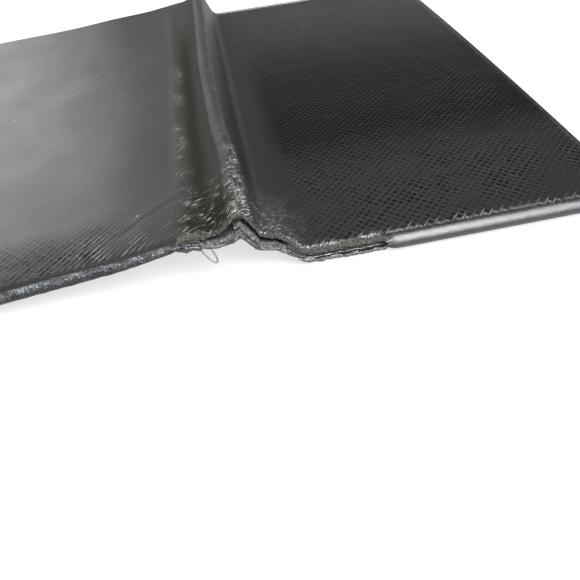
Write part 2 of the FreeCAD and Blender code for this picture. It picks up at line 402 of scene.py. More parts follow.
def tube_faces(rows, columns, offset=0):
    """The faces of a tube of rows x columns points, which is closed at both ends."""
    faces = []
    for i in range(rows - 1):
        for j in range(columns):
            a, b = (offset + i * columns + k % columns for k in (j, j + 1))
            faces.append((a, b, b + columns, a + columns))
    last = offset + (rows - 1) * columns
    return faces + [tuple(range(start, start + columns)) for start in (offset, last)]


def closed_tube(name, points, material, values):
    """A tube through rows of rings of points."""
    faces = tube_faces(*points.shape[:2])
    return add_mesh(name, points.reshape(-1, 3), faces, [material], None, values)


def spokes(path, axis=None):
    """Two unit vectors across each point of a path, the first one across axis too."""
    tangent = np.gradient(path, axis=0)
    tangent /= np.linalg.norm(tangent, axis=1)[:, None]
    if axis is None:
        axis = np.eye(3)[np.abs(tangent).sum(axis=0).argmin()]
    first = np.cross(tangent, axis)
    first /= np.linalg.norm(first, axis=1)[:, None]
    return first, np.cross(tangent, first)


def running(path):
    """The distance along a path at each of its points."""
    return np.r_[0, np.cumsum(np.linalg.norm(np.diff(path, axis=0), axis=1))]


def tubes(name, paths, radii, sides, material, uv=False):
    """Round strands along paths of points in millimetres; radii has one per point."""
    turns = 2 * math.pi * np.arange(sides) / sides
    points, faces, coordinates = [], [], []
    for path, radius in zip(paths, radii):
        first, second = spokes(path)
        faces += tube_faces(len(path), sides, len(points))
        for centre, run, a, b, size in zip(path, running(path), first, second, radius):
            for j, turn in enumerate(turns):
                points.append((centre + (math.cos(turn) * a + math.sin(turn) * b) * size) * MM)
                coordinates.append((run, j * size))
    return add_mesh(name, points, faces, [material], coordinates if uv else None)


# ---- Materials ----
class Value:
    """A number in a material: arithmetic with it adds nodes."""

    def __init__(self, surface, socket):
        self.surface = surface
        self.socket = socket

    def __add__(self, other):
        return self.surface.math("ADD", self, other)

    def __sub__(self, other):
        return self.surface.math("SUBTRACT", self, other)

    def __rsub__(self, other):
        return self.surface.math("SUBTRACT", other, self)

    def __mul__(self, other):
        return self.surface.math("MULTIPLY", self, other)


class Surface:
    """A material under construction: short calls that add nodes and join them."""

    def __init__(self, name, roughness=0.5, **shader_inputs):
        self.material = bpy.data.materials.new(name)
        self.material.use_nodes = True
        self.tree = self.material.node_tree
        self.shader = self.tree.nodes["Principled BSDF"]
        self.give(Roughness=roughness, **shader_inputs)

    def give(self, **shader_inputs):
        """Sets or joins the shader's inputs, with _ for a space in their names."""
        for key, value in shader_inputs.items():
            self.put(self.shader.inputs[key.replace("_", " ")], value)

    def put(self, socket, value):
        value = value.socket if isinstance(value, Value) else value
        if isinstance(value, bpy.types.NodeSocket):
            self.tree.links.new(value, socket)
        elif socket.type == "RGBA":
            socket.default_value = (*value, 1)
        else:
            socket.default_value = value

    def node(self, kind, **inputs):
        """A new node, with its inputs set or joined by name."""
        node = self.tree.nodes.new("ShaderNode" + kind)
        for key, value in inputs.items():
            self.put(node.inputs[key.replace("_", " ")], value)
        return node

    def math(self, operation, *values, clamp=False):
        node = self.node("Math")
        node.operation = operation
        node.use_clamp = clamp
        for socket, value in zip(node.inputs, values):
            self.put(socket, value)
        return Value(self, node.outputs[0])

    def between(self, value, low, high):
        """0 below low, 1 above high, smooth between them."""
        node = self.node("MapRange", Value=value, From_Min=low, From_Max=high)
        node.interpolation_type = "SMOOTHSTEP"
        return Value(self, node.outputs[0])

    def mix(self, factor, a, b):
        """A colour between a and b."""
        node = self.node("Mix")
        node.data_type = "RGBA"
        colors = [socket for socket in node.inputs if socket.type == "RGBA"]
        for socket, value in ((node.inputs[0], factor), (colors[0], a), (colors[1], b)):
            self.put(socket, value)
        return next(socket for socket in node.outputs if socket.type == "RGBA")

    def value(self, name):
        """A number kept on the mesh's vertices."""
        node = self.node("Attribute")
        node.attribute_name = name
        return Value(self, node.outputs["Fac"])

    def grain_uv(self):
        """The mesh's flat coordinates in millimetres: the vector, u and v."""
        node = self.node("UVMap")
        node.uv_map = "Grain"
        split = self.node("SeparateXYZ", Vector=node.outputs[0])
        return node.outputs[0], Value(self, split.outputs[0]), Value(self, split.outputs[1])

    def noise(self, vector, scale, detail=2.0, roughness=0.5):
        node = self.node("TexNoise", Vector=vector, Scale=scale, Detail=detail, Roughness=roughness)
        return Value(self, node.outputs["Fac"])

    def streaked(self, x, y, detail, roughness):
        """Noise in two coordinates of its own."""
        return self.noise(self.node("CombineXYZ", X=x, Y=y).outputs[0], 1.0, detail, roughness)

    def crumbs(self, vector, scale, size):
        """Small specks scattered at random: 1 inside one."""
        node = self.node("TexVoronoi", Vector=vector, Scale=scale)
        chance = self.node("SeparateColor", Color=node.outputs["Color"])
        present = self.math("GREATER_THAN", chance.outputs[0], 0.86)
        return self.math("LESS_THAN", node.outputs["Distance"], size) * present

    def place(self):
        """The mesh's own coordinates, in metres."""
        return self.node("TexCoord").outputs["Object"]

    def relief(self, *layers):
        """Adds relief, in layers of a height and the millimetres that 1 of it stands for."""
        normal = None
        for height, distance in layers:
            node = self.node("Bump", Distance=distance * MM, Height=height)
            if normal is not None:
                self.put(node.inputs["Normal"], normal)
            normal = node.outputs[0]
        self.give(Normal=normal)


GRAIN_PITCH = 1.67  # between the crosshatched lines
DIAGONAL = math.sqrt(0.5)


def crosshatch(surface, u, v, wobble, first=1.0, second=0.85, thin=0.0):
    """Raised lines at 45 degrees both ways: 1 on a line, 0 in a pit.  The lines are
    broad with small pits between them where thin is 0, and fine where it is 1."""
    low, high = thin * 0.18 + 0.40, thin * 0.02 + 0.94
    lines = []
    for along, strength in ((u - v, first), (u + v, second)):
        wave = surface.math("PINGPONG", along * (DIAGONAL / GRAIN_PITCH) + wobble, 0.5)
        lines.append(surface.between(wave * 2.0, low, high) * strength)
    return surface.math("SMOOTH_MAX", *lines, 0.25)


def cover_leather():
    """Black crosshatch-grained leather, with the ridge's wear."""
    surface = Surface("cover_leather")
    flat, u, v = surface.grain_uv()
    wobble = (surface.noise(flat, 0.16) - 0.5) * 0.5
    second = 0.9 - surface.value("stretch") * 0.5
    lines = crosshatch(surface, u, v, wobble, surface.value("slash"), second, surface.value("thin"))
    patchy = surface.noise(flat, 0.05, 3)
    blotchy = surface.between(surface.noise(flat, 0.3), 0.4, 0.6) * 0.5 + 0.5
    grain = surface.value("grain") * surface.between(patchy, 0.2, 0.6) * blotchy
    pit = (1.0 - lines) * grain
    clusters = surface.between(surface.noise(flat, 0.24), 0.42, 0.60)
    bright = lines * lines * lines * grain * surface.value("glint") * clusters
    fine = surface.noise(flat, 2.6, 4, 0.6)
    pores = surface.noise(flat, 1.9, 4, 0.62)
    # Streaks run up to the right across the ridge's left foot, from rubbing.
    streaks = surface.streaked((u + v) * 0.24, (v - u) * 1.6, 4, 0.65)
    # Fine scratches run the other way over the left panel.
    scratches = surface.streaked((v - u) * 0.10, (u + v) * 1.1, 5, 0.6) * surface.value("raked")
    olive = surface.value("dirt") * surface.between(fine, 0.25, 0.75)
    flecks = streaks * 0.45 + pores * 0.55
    uneven = clusters * 0.75 + 0.25
    scuff = surface.value("scuff") * surface.between(flecks, 0.49, 0.58) * uneven
    scuff = scuff + surface.value("rub") * surface.between(streaks, 0.54, 0.66) * uneven
    color = surface.mix(fine * 0.8, (0.002, 0.002, 0.0021), (0.007, 0.007, 0.0065))
    for amount, shade in (
        (surface.value("pale") * 0.65, (0.012, 0.012, 0.0112)),
        # Painted shade: the pits between the raised lines are coloured near black.
        (pit * 0.95, (0.0008, 0.0008, 0.0008)),
        # Painted highlights: a pale colour on the tops of the lines, where glint is set.
        (bright, (0.26, 0.26, 0.245)),
        (olive * 0.9, (0.030, 0.029, 0.018)),
        (surface.math("MINIMUM", scuff, 0.9), (0.30, 0.305, 0.29)),
        (surface.crumbs(flat, 0.085, 0.022) * 0.8, (0.35, 0.35, 0.34)),
    ):
        color = surface.mix(amount, color, shade)
    gloss = 0.50 - lines * grain * 0.08 - surface.value("polish") * 0.25
    gloss = gloss + (patchy - 0.5) * 0.16 + pit * 0.06
    gloss = surface.math("ADD", gloss, scuff * 0.25, clamp=True)
    # Neither the pits nor the dirt shine, which metal of a black colour stands for.
    dull = surface.value("dull") * surface.math("SUBTRACT", 1.0, scuff, clamp=True)
    metal = surface.math("MAXIMUM", pit * 0.95, dull * 0.9)
    surface.give(Base_Color=color, Roughness=gloss, Metallic=metal)
    rubbed = streaks * surface.value("rub")
    surface.relief((lines * grain, 0.24), (rubbed, 0.25), (scratches, 0.10), (fine, 0.035))
    return surface.material


def pocket_leather():
    """The pockets' thinner black leather: the same grain, hardly worn."""
    surface = Surface("pocket_leather")
    flat, u, v = surface.grain_uv()
    lines = crosshatch(surface, u, v, (surface.noise(flat, 0.2) - 0.5) * 0.3)
    fine = surface.noise(flat, 2.6, 4, 0.6)
    ground = surface.mix(fine, (0.008, 0.008, 0.009), (0.02, 0.02, 0.019))
    # Painted shade: the pits between the lines are coloured darker than the ground.
    color = surface.mix(lines, (0.003, 0.003, 0.003), ground)
    surface.give(Base_Color=color, Roughness=0.55 - lines * 0.12)
    surface.relief((lines, 0.2), (fine, 0.03))
    return surface.material


def fibrous(name, dark, light, size):
    """A torn or cut edge, or board: matted fibres."""
    surface = Surface(name, 0.9)
    where = surface.place()
    tufts = surface.noise(where, 700 / size, 5, 0.7)
    strands = surface.noise(where, 2600 / size, 4, 0.7)
    shade = surface.between(strands * 0.6 + tufts * 0.5, 0.47, 0.68)
    surface.give(Base_Color=surface.mix(shade, dark, light))
    surface.relief((tufts, 0.5), (strands, 0.18))
    return surface.material


def edge_coat_material():
    """Black edge paint: glossy and slightly blue, matt and speckled where it is worn."""
    surface = Surface("edge_paint", IOR=1.8)
    where = surface.place()
    worn, upper = surface.value("worn"), surface.value("upper")
    fine = surface.noise(where, 3000, 4, 0.75)
    coarse = surface.noise(where, 420, 3)
    ground = surface.mix(coarse, (0.003, 0.0035, 0.005), (0.009, 0.010, 0.014))
    # Where it is worn, its upper side is paler, and most of the specks lie on it.
    upper_paler = surface.mix(coarse, (0.006, 0.007, 0.009), (0.022, 0.024, 0.028))
    ground = surface.mix(worn * upper, ground, upper_paler)
    specks = surface.between(coarse * 0.35 + fine, 0.68, 0.84) * worn * (upper * 0.85 + 0.15)
    color = surface.mix(specks, ground, (0.27, 0.285, 0.30))
    surface.give(Base_Color=color, Roughness=worn * 0.08 + 0.40, Metallic=worn * 0.6)
    surface.relief((fine, 0.07), (coarse * (worn * 0.8 + 0.25), 0.35))
    return surface.material


def woven(name, dark, light, pitch):
    """Fine plain-woven cloth."""
    surface = Surface(name, 0.85)
    flat, u, v = surface.grain_uv()
    waves = [surface.math("SINE", along * (math.pi / pitch)) for along in (u, v)]
    weave = surface.math("ABSOLUTE", waves[0] * waves[1])
    uneven = surface.noise(flat, 0.8, 3)
    surface.give(Base_Color=surface.mix(uneven * 0.6 + weave * 0.5, dark, light))
    surface.relief((weave, 0.05), (uneven, 0.05))
    return surface.material


def twine(name, dark, light, size):
    """Twisted thread: fine oblique filaments."""
    surface = Surface(name, 0.7)
    u, v = surface.grain_uv()[1:]
    filaments = surface.math("SINE", v * 9.0 + u * (2 * math.pi / size)) * 0.5 + 0.5
    fuzz = surface.noise(surface.place(), 3000, 3)
    surface.give(Base_Color=surface.mix(fuzz * 0.5 + filaments * 0.5, dark, light))
    surface.relief((filaments, 0.06))
    return surface.material




COVER = cover_leather()
POCKET = pocket_leather()
CUT = fibrous("cut_leather", (0.005, 0.0047, 0.004), (0.09, 0.0865, 0.075), 0.55)
CUT_DARK = fibrous("pocket_cut", (0.008, 0.008, 0.008), (0.05, 0.05, 0.048), 1.0)
BOARD_EDGE = fibrous("board", (0.006, 0.006, 0.005), (0.06, 0.058, 0.052), 0.6)
FELT = fibrous("reinforcement", (0.016, 0.0155, 0.013), (0.20, 0.198, 0.175), 0.7)
COAT = edge_coat_material()
CLOTH_LINING = woven("lining_cloth", (0.012, 0.012, 0.014), (0.05, 0.05, 0.055), 0.45)
FRAY = fibrous("frayed_cloth", (0.02, 0.021, 0.021), (0.34, 0.355, 0.35), 0.8)
FRAYED_LINING = fibrous("frayed_lining", (0.008, 0.009, 0.010), (0.15, 0.158, 0.158), 0.7)
STITCH = twine("pocket_thread", (0.012, 0.012, 0.013), (0.05, 0.05, 0.052), 0.9)
LOOSE = twine("loose_thread", (0.05, 0.05, 0.045), (0.26, 0.255, 0.235), 0.8)


# ---- The cover ----
def to_edges(u, y):
    """The distances to the nearer end and to the nearer free edge."""
    return HALF - np.abs(y), np.minimum(U_RIGHT_EDGE - u, u - U_LEFT_EDGE)


def edge_distance(u, y):
    """How far inside the leather's rounded outline a place is."""
    to_end, to_free = to_edges(u, y)
    a, b = CORNER - to_end, CORNER - to_free
    corner = CORNER - np.hypot(np.maximum(a, 0), np.maximum(b, 0))
    return np.where((a > 0) & (b > 0), corner, np.minimum(to_end, to_free))


def at_free_edge(u, y):
    """1 along the free edges, 0 along the ends."""
    to_end, to_free = to_edges(u, y)
    return ramp(to_end - to_free, -1, 1)


def round_corner(u, y, edge_u):
    """Moves a grid's places so that its corners at edge_u follow the outline."""
    sign = math.copysign(1, edge_u)
    a = np.clip((CORNER - (edge_u - u) * sign) / CORNER, 0, 1)
    b = np.clip((CORNER - (HALF - np.abs(y))) / CORNER, 0, 1)
    new_u = edge_u - sign * CORNER * (1 - a * np.sqrt(1 - b * b / 2))
    new_y = np.sign(y) * (HALF - CORNER * (1 - b * np.sqrt(1 - a * a / 2)))
    inside = (a > 0) & (b > 0)
    return np.where(inside, new_u, u), np.where(inside, new_y, y)


def pull(u, y):
    """The slanting crease on the left panel, pulled tight from the torn fold: how
    strong it is at a place, and how far above it the place is."""
    s = U_LEFT - u
    return ramp(s, 40, 28) * ramp(s, 1, 7), up(y) - (3.9 + 17.5 * ramp(s, 36, 2))


def relief(u, y):
    """The cover's own creases and ridges, outwards."""
    waver = 0.5 * ripple(0, y, 45, 2.0)
    second = 0.32 * bump(u, -6.0 + waver, 1.3) - 0.5 * bump(u, -3.7 + waver, 0.85)
    foot = -0.22 * bump(u, U_LEFT - 3.6, 1.6) + 0.16 * bump(u, U_LEFT - 7.5, 1.4)
    along = ramp(up(y), 0, 30) * ramp(y, HALF, HALF - 25)
    tight, away = pull(u, y)
    crease = -0.12 * bump(away, 0, 0.9) + 0.10 * bump(away, 1.9, 1.5)
    uneven = 0.07 * ripple(u, y, 22, 4.0) + 0.03 * ripple(u, y, 5, 6.0)
    ridge_dents = 0.22 * ripple(u, y, 2.6, 8.0) * bump(u, 0, 5) * ramp(up(y), 45, 0)
    return (second + foot) * along + crease * tight + uneven + ridge_dents


def wear(u, y):
    """Where the cover is worn, and where highlights are painted on its lines, as numbers for its material.
    """
    s, high, inset = from_fold(u), up(y), edge_distance(u, y)
    left, right = u < 0, u > 0
    on_ridge, near = ramp(s, 7, 2), ramp(high, 40, 0)
    stretch = left * ramp(s, 42, 24) * ramp(high, 28, 6)
    rolled = bump(inset, 3.2, 1.0) * right * (1 - at_free_edge(u, y))
    # The grain shows on the near left, and fades up the holder and towards the ridge.
    left_grain = np.maximum(0.07 + 0.93 * ramp(high, 24, 6), 0.85 * stretch)
    left_grain *= ramp(s + 10 * ramp(high, 20, 80), 8, 20)
    right_grain = ramp(s, 3, 17) * (1 - 0.85 * ramp(high, 45, 120))
    right_grain *= 1 - 0.75 * ramp(REACH - s, 11, 3) * ramp(high, 22, 47)
    grain = np.where(left, left_grain, right_grain) * (1 - on_ridge)
    # Dirt lies along the left foot, and over the worn end of the ridge.
    dirt = bump(s, 2.5, 3.6) * left * ramp(high, 165, 115)
    near_dirt = ramp(high, 42, 0) * ramp(s, 12, 4) * (0.95 * left + 0.1 * right)
    dirt = np.maximum(dirt, near_dirt)
    # A scuffed line runs beside it, and the crest and the torn rim are scuffed.
    broken = np.clip(0.5 + 1.3 * ripple(u, y, 9, 11.0), 0, 1)
    line = left * bump(s, 6.6 + 1.2 * ripple(0, y, 12, 10.0), 1.7) * ramp(high, 122, 102) * broken
    crest = bump(u, 1.5, 2.6) * (ramp(high, 50, 4) + 0.18)
    rim = ramp(high - torn_line(u), 1.4, 0) * in_tear(u)
    flecked = 0.3 * right * ramp(s, 18, 0) * ramp(high, 32, 0)
    # The left foot and the ridge's worn end are matt.
    matt = 0.4 * ramp(s, 30, 8) + 1.6 * ramp(s, 11, -2) * ramp(u, -1.5, -3.5)
    matt = left * (matt + 0.2 * ramp(high, 23, 3) * ramp(u, -1.2, -3.2))
    matt = matt + 0.5 * right * on_ridge * near + 0.5 * bump(u, -0.8, 1.6)
    dim = right * ramp(high, 26, 56) * ramp(high, 160, 85) * ramp(s, 4, 14)
    amounts = {
        "grain": grain * ramp(inset + 1.28 * right, 1.6, 3.2),
        "raked": left * ramp(s, 10, 24) * ramp(high, 6, 24),
        "slash": 1 - 0.4 * left * ramp(high, 14, 28),
        "pale": right * ramp(s, 6, 18) * ramp(high, 60, 14),
        "thin": left * ramp(high, 35, 5) + rolled,
        "stretch": stretch + 0.9 * rolled,
        # Where highlights are painted on the lines: the near left, and the rolled right edge.
        "glint": 1.4 * stretch * ramp(high, 22, 0) + 0.7 * rolled,
        "dirt": dirt,
        "scuff": 0.65 * line + 1.1 * crest + 0.8 * rim + flecked,
        "dull": left * (dirt + 0.35 * ramp(high, 23, 3)) + dim,
        "rub": 0.95 * left * ramp(high, 36, 0) * ramp(s, 13, 5) + 0.4 * on_ridge * near,
    }
    amounts = {key: np.clip(amount, 0, 1) for key, amount in amounts.items()}
    amounts["polish"] = 0.35 * right * ramp(s, 4, 16) - matt
    return amounts


def stretched(u, y):
    """The grain's coordinates, drawn out towards the torn fold."""
    s, high = U_LEFT - u, up(y)
    share = (u < 0) * ramp(s, 46, 16) * ramp(high, 32, 2)
    return np.stack([u + 3.2 * share * ramp(high, 26, 0), y + 0.12 * share * (s - 46)], -1)


OVERLAP = 0.4  # the halves of what crosses the ridge share this much at the crest


def roughened(points, amounts, places, size):
    """Points with noise added: amounts has an axis, a distance and a seed for each."""
    points = points.copy()
    for axis, distance, seed in amounts:
        points[:, axis] += distance * MM * ripple(*places, size, seed)
    return points


def cover_half(side):
    """One half of the cover, from just past the crest to its free edge."""
    sign = 1 if side == "right" else -1
    edge, fold = (U_RIGHT_EDGE, U_RIGHT) if sign > 0 else (-U_LEFT_EDGE, -U_LEFT)
    us = sign * spaced([-OVERLAP, fold + 6, fold + 34, edge - 5, edge], [0.4, 0.7, 1.05, 0.35])
    ys = spaced([-HALF, -HALF + 5, -HALF + 40, HALF - 4, HALF], [0.33, 0.7, 1.1, 0.4])
    u, y = round_corner(*np.meshgrid(us, ys, indexing="ij"), sign * edge)
    torn = torn_line(u)
    y_top = y + torn * fading(up(y))
    y_bottom = y + np.clip(torn - torn_slant(u), 0, None) * fading(up(y))
    inset, pressed = edge_distance(u, y_top), CREASE_INSET[side]
    crease = CREASE_DEPTH * bump(inset, pressed, CREASE_WIDTH) * (1 - 0.85 * at_free_edge(u, y))
    turned_down = 0.8 * ramp(inset, pressed, 0)
    sunk = 0.02 * np.clip(-u * sign / OVERLAP, 0, 1)  # so that the halves don't coincide
    split = 0.5 * ramp(up(y_bottom), 9, 0) * ramp(u, U_RIGHT - 1, U_RIGHT - 4) * ramp(u, -7, -4)
    top = place(u, y_top, SURFACE + relief(u, y_top) - crease - turned_down - sunk)
    bottom = place(u, y_bottom, -SURFACE + 0.05 + split)

    def frayed(points, level):
        x, y = points[:, 0] / MM, points[:, 1] / MM
        torn_here = (up(y) < 5) * (np.abs(x) < 40)
        amounts = ((1, 0.30 * torn_here, 20.0 + level), (2, 0.15 * torn_here, 30.0 + level))
        return roughened(points, amounts, (x, y), 0.35)

    return closed_sheet("outer_cover_" + side, top, bottom, [COVER, CUT], stretched(u, y_top),
                        wear(u, y_top), rings=3, rough=frayed)


# ---- Edge paint ----
BEAD = {"left": 1.45, "right": 1.7}  # the painted edge's radius
BEAD_TOP = {"left": 0.05, "right": 0.45}  # its height
COAT_END = {"left": 0.5, "right": 1.0}  # how far out from the leather it stands
FLATTER = {"left": 0.0, "right": 1.3}  # how much flatter its upper front is than a round
COAT_SEED = {"left": 12.0, "right": 14.0}


def outline_path(side):
    """A panel's painted edge from the tear to the crest: rows of u, y and the outward
    direction in them."""
    right = side == "right"
    edge, fold = (U_RIGHT_EDGE, U_RIGHT) if right else (-U_LEFT_EDGE, -U_LEFT)
    torn = fold + (TORN_RIGHT if right else TORN_LEFT)
    quarter = [(math.cos(turn), math.sin(turn)) for turn in np.linspace(0, math.pi / 2, 9)[1:-1]]
    inner_u, inner_y = edge - CORNER, HALF - CORNER
    rows = [(u, -HALF, 0, -1) for u in spaced([torn, inner_u], [0.5])]
    rows += [(inner_u + CORNER * s, -inner_y - CORNER * c, s, -c) for c, s in quarter]
    rows += [(edge, y, 1, 0) for y in spaced([-inner_y, inner_y], [1.0])]
    rows += [(inner_u + CORNER * c, inner_y + CORNER * s, c, s) for c, s in quarter]
    rows += [(u, HALF, 0, 1) for u in spaced([inner_u, fold + 6, -OVERLAP], [1.0, 0.4])]
    rows = np.array(rows)
    if not right:
        rows[:, [0, 2]] *= -1
    return rows


def coat_depth(s):
    """How far down the paint goes: it hides the pockets' steps."""
    return np.interp(s, [-20, 0, 6, 33, 40], [1.75, 1.75, 1.9, DEPTH, DEPTH])


def coat_section(side):
    """The paint's section: how far out from the leather's edge, and the level."""
    # The round is drawn by its direction, and turns more slowly over its flatter part.
    turns = np.radians(np.linspace(104, -88, 17))
    mid = (turns[1:] + turns[:-1]) / 2
    steps = np.diff(turns) * (1 + FLATTER[side] * bump(mid, math.radians(52), math.radians(24)))
    across = np.r_[0, np.cumsum(-np.sin(mid) * steps)]
    rise = np.r_[0, np.cumsum(np.cos(mid) * steps)]
    scale = 2 * BEAD[side] / (rise.max() - rise.min())
    across = COAT_END[side] + (across - across.max()) * scale
    rise = BEAD_TOP[side] + (rise - rise.max()) * scale
    inner = -CREASE_INSET[side]
    outset = np.r_[inner, inner + 0.25, across, -1.9, -2.1]
    return outset, np.r_[-0.35, BEAD_TOP[side] - 0.37, rise, -2.6, -1.2]


def edge_coat(side):
    """The thick rounded paint on a panel's edge."""
    path_u, path_y, along_u, along_y = outline_path(side).T[:, :, None]
    outset, out = coat_section(side)
    start = np.arange(len(path_u))[:, None]
    arc = np.arange(len(outset))[None, :]
    s = from_fold(path_u)
    out = np.where(out < 0, out * coat_depth(s) / DEPTH, out)
    out = out - 0.45 * np.abs(along_u) * (outset < -0.4) * (out > -1)
    near_left = (side == "left") * ramp(up(path_y), 4, 0)
    lumps = 0.07 * ripple(start * 0.5, arc * 0.6, 2.2, COAT_SEED[side]) * (0.4 + 2.2 * near_left)
    u = path_u + along_u * (outset + lumps)
    y = path_y + along_y * (outset + lumps)
    # The first rows taper into the tear, and are ragged.
    fade = ramp(start, 0, 5)
    taper = 0.45 + 0.55 * fade
    u = u + 1.4 * ripple(arc * 0.7, 0, 1.6, 15.0) * (1 - fade)
    out = -0.9 + (out + 0.9) * taper
    y = np.where(start < 6, -HALF + (y + HALF) * taper, y)
    worn = near_left * ramp(s, 124, 34) + 0.10 + 0.7 * ramp(start, 8, 0)
    values = {"worn": np.clip(worn, 0, 1) + 0 * u, "upper": ramp(out, -1.6, -0.3)}
    return closed_tube("edge_coat_" + side, place(u, y, out), COAT, values)


def remnant(name, side, stops, levels, radius, seed, setback, material):
    """A broken strip of old paint or frayed thread left on the worn end, from one s to
    another.  Without levels, it is on the lining's edge."""
    stops = [0.0 if s is None else at(side, s) for s in stops]
    us = spaced(stops, [0.3])[:, None]
    share = (us - us[0]) / (us[-1] - us[0])
    body = ramp(share, 0, 0.12) * ramp(share, 1, 0.88)
    size = radius * (0.25 + body * (0.75 + 0.7 * ripple(us, 0, 1.6, seed)))
    on_lining = lining_top(us, -HALF) - LINING - 0.1
    level = on_lining if levels is None else np.interp(share, [0, 1], levels)
    level = level + 0.12 * ripple(us, 0, 1.2, seed + 1)
    y = -HALF + setback + 0.25 * ripple(us, 0, 2.0, seed + 2)
    turns = np.linspace(0, 2 * math.pi, 9)[:-1]
    size = size * (1 + 0.35 * ripple(us * 1.7, np.arange(8)[None, :] * 0.8, 1.0, seed + 3))
    out = level + size * 1.15 * np.sin(turns)
    points = place(us, y - size * np.cos(turns), out, UNDER)
    values = {"worn": 0.35 + 0 * out, "upper": smooth(0.5 + 0.5 * np.sin(turns) + 0 * out)}
    return closed_tube(name, points, material, values)


# ---- The layers under the cover ----
def at(side, s):
    """u at a distance from a side's fold."""
    return U_RIGHT + s if side == "right" else U_LEFT - s


def layer(name, side, limits, s_stops, s_steps, top, bottom, materials, setback=0.3, seed=0.0):
    """A closed flat piece of a panel; top and bottom are levels or functions of u, y."""
    low, high = limits
    ys = spaced([low, low + 5, low + 40, high - 2, high], [0.4, 1.4, 2.6, 0.5])
    s, y = np.meshgrid(spaced(s_stops, s_steps), ys, indexing="ij")
    u = at(side, s)
    if low < -HALF + 1:
        y = y + torn_layer(u, setback, seed) * fading(y - low)
    top = top(u, y) if callable(top) else top + 0 * u
    bottom = bottom(u, y) if callable(bottom) else bottom + 0 * u
    thick = top - bottom
    inset = np.minimum.reduce([s - s_stops[0], s_stops[-1] - s, y - y.min(), high - y])
    rounding = np.clip(1 - inset / (0.5 * thick), 0, 1) ** 2 * 0.35 * thick
    surfaces = [place(u, y, top - rounding, UNDER), place(u, y, bottom + rounding, UNDER)]
    return closed_sheet(name, *surfaces, materials, np.stack([s, y], -1), rings=1)


def lining_top(u, y):
    """The lining lies on the panel's board, and under the ridge on its reinforcement."""
    below = SURFACE + BOARD + 0.55 * swelling(u, y)
    under_ridge = reinforcement_bottom(u, y) - 0.1 - 0.45 * opening(u, y)
    share = spine_share(u)
    return -below * (1 - share) + under_ridge * share


def reinforcement_top(u, y):
    return -SURFACE - LAYER_GAP - 1.35 * opening(u, y)


def reinforcement_bottom(u, y):
    return reinforcement_top(u, y) - REINFORCEMENT * (1 + 0.6 * swelling(u, y))


def pressed_down(level, amount=0.5):
    """A level that the worn end's swelling pushes down."""
    return lambda u, y: level - amount * swelling(u, y)


ENDS = (-HALF + 0.3, HALF - 0.3)
CLOTH_ENDS = (-HALF + 1.5, HALF - 1.5)
FRAYED = 2.6  # the lining's worn end has lost its weave this far up
INNER = REACH - 0.3
TIERS = {"back": 47.0, "middle": 49.0, "front": 51.0}  # with their worn ends' seeds


def section(node):
    """Where a pocket's node starts and ends from the fold, and its lower level."""
    low, high = box(node + "_right")
    return low[0] - RIGHT[0], high[0] - RIGHT[0], low[2] - RIGHT[1]


def panel_layers(side):
    """What a panel has between its cover and its inner face."""
    made = {}

    def add(kind, name, *shape, limits=ENDS, **worn_end):
        made[kind] = layer(f"{name}_{side}", side, limits, *shape, **worn_end)

    add("board", "stiffener", [4, 30, INNER - 3, INNER], [0.5, 2.0, 0.5],
        -SURFACE, pressed_down(-SURFACE - BOARD), [BOARD_EDGE, BOARD_EDGE], setback=0.5, seed=41.0)
    crest = -(U_RIGHT + OVERLAP) if side == "right" else U_LEFT - OVERLAP
    add("lining", "lining_cloth", [crest, 6, 30, INNER - 3, INNER], [0.5, 1.0, 2.6, 0.5],
        lining_top, lambda u, y: lining_top(u, y) - LINING, [CLOTH_LINING, FRAYED_LINING], seed=43.0)
    for face in made["lining"].data.polygons:
        if up(face.center.y / MM) < FRAYED:
            face.material_index = 1
    start, _, bottom = section("slip_pocket")
    add("slip_pocket", "slip_leather", [start, 9, 30, INNER], [0.35, 1.0, 2.6],
        pressed_down(bottom + POCKET_LEATHER + 0.05), pressed_down(bottom),
        [POCKET, CUT_DARK], setback=0.6, seed=45.0)
    for tier, seed in TIERS.items():
        mouth, foot, bottom = section("card_pocket_" + tier)
        foot = min(foot, INNER)
        end = foot if tier == "front" else mouth + STRIP
        add("card_pocket_" + tier, tier + "_pocket_leather", [mouth, mouth + 4, end], [0.35, 1.6],
            pressed_down(bottom + POCKET_LEATHER, 0.45), pressed_down(bottom, 0.45),
            [POCKET, CUT_DARK], setback=0.7, seed=seed)
        if tier == "front":
            continue
        level = box(f"pocket_cloth_{tier}_right")[1][2] - RIGHT[1]
        add("pocket_cloth_" + tier, tier + "_pocket_cloth", [end - 1.0, foot], [1.6],
            level, level - CLOTH, [CLOTH_LINING, CLOTH_LINING], limits=CLOTH_ENDS)
    return made


def inner_level(s):
    """The level of the panel's inner face at a distance from its fold."""
    level = -SURFACE - BOARD - LINING
    for node in ("slip_pocket", *("card_pocket_" + tier for tier in TIERS)):
        start, _, bottom = section(node)
        if s > start:
            level = bottom
    return level


STITCH_RADII = [0.10, 0.2, 0.24, 0.25, 0.24, 0.2, 0.10]
STITCH_PROUD = 0.08  # how far its middle stands off the leather
STITCH_SINK = 0.32  # how far its ends go into the leather
STITCH_SLANT = 0.12


